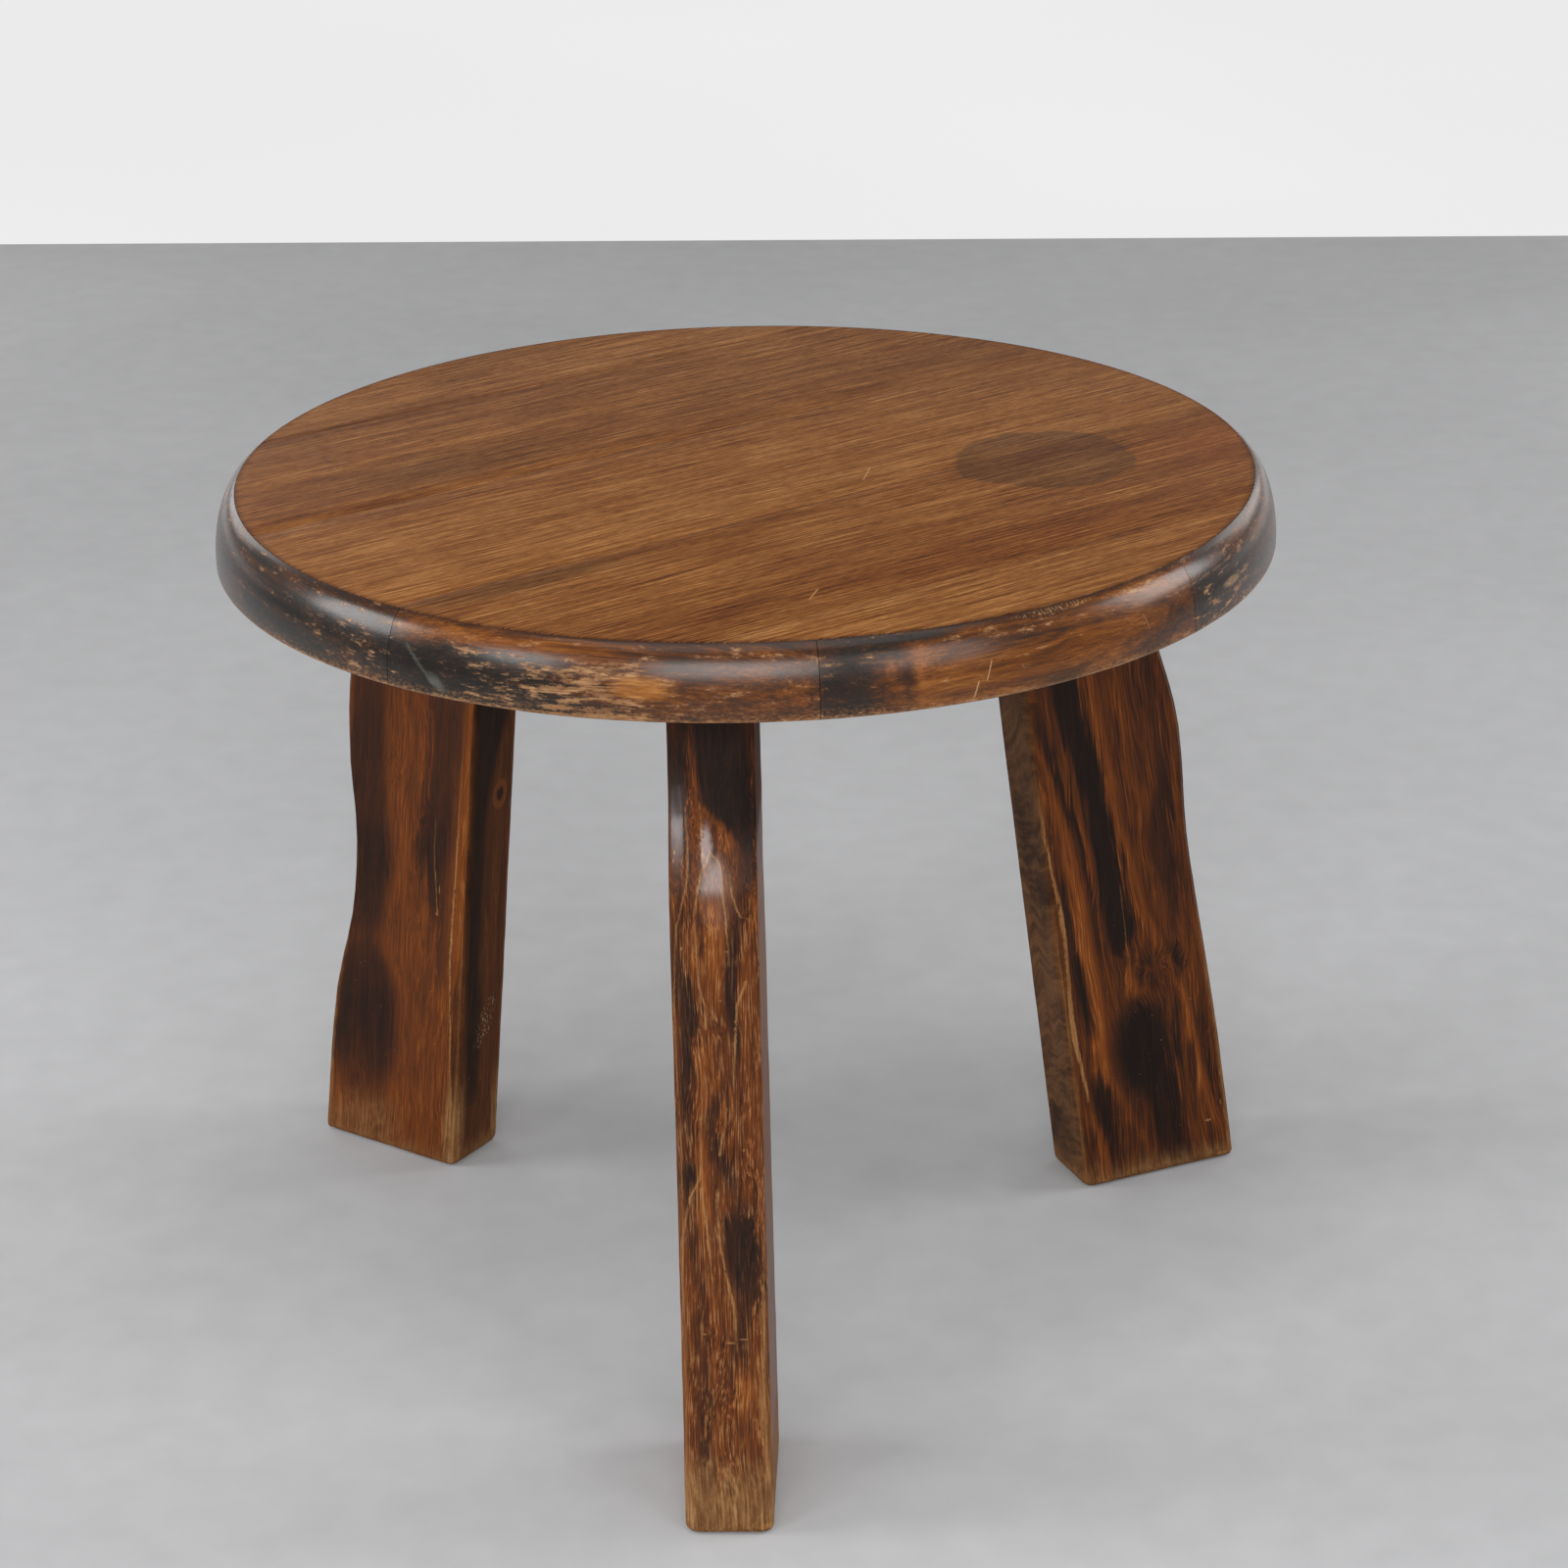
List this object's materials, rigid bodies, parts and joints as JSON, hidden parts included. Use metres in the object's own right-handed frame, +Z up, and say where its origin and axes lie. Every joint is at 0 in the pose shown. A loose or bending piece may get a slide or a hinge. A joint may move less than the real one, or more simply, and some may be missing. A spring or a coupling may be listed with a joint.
{
  "type": "cricket table",
  "caption": "Low round side table with a veneered top, a thick bullnose rim of solid segments, and splayed slab legs with waved outer edges.",
  "frame": {"origin": "middle of the whole table's plan on the floor, which lies a little in front of the top's own axis because the front foot reaches past the rim", "axes": "+Z up through the top, -Y towards the front leg, +X to the right when seen from the front"},
  "size_m": [0.5998, 0.6188, 0.503],
  "materials": {
    "face_veneer": "worn satin, fine straight grain",
    "rim_wood": "glossy dark lacquer, scuffed",
    "leg_wood": "dark stained, satin lacquer, worn edges",
    "core_wood": "raw board",
    "backing_veneer": "thin stain, matte",
    "joinery_wood": "raw beech"
  },
  "bodies": {
    "root": {"backing_veneer": "backing_veneer", "core_panel": "core_wood", "dowel_front_inner": "joinery_wood", "dowel_front_middle": "joinery_wood", "dowel_front_outer": "joinery_wood", "dowel_left_inner": "joinery_wood", "dowel_left_middle": "joinery_wood", "dowel_left_outer": "joinery_wood", "dowel_right_inner": "joinery_wood", "dowel_right_middle": "joinery_wood", "dowel_right_outer": "joinery_wood", "face_leaf_1": "face_veneer", "face_leaf_2": "face_veneer", "face_leaf_3": "face_veneer", "face_leaf_4": "face_veneer", "face_leaf_5": "face_veneer", "leg_front": "leg_wood", "leg_left": "leg_wood", "leg_right": "leg_wood", "rim_segment_1": "rim_wood", "rim_segment_2": "rim_wood", "rim_segment_3": "rim_wood", "rim_segment_4": "rim_wood", "rim_segment_5": "rim_wood", "rim_segment_6": "rim_wood", "rim_segment_7": "rim_wood", "rim_segment_8": "rim_wood", "rim_tongue_1": "joinery_wood", "rim_tongue_2": "joinery_wood", "rim_tongue_3": "joinery_wood", "rim_tongue_4": "joinery_wood", "rim_tongue_5": "joinery_wood", "rim_tongue_6": "joinery_wood", "rim_tongue_7": "joinery_wood", "rim_tongue_8": "joinery_wood"}
  },
  "joints": []
}
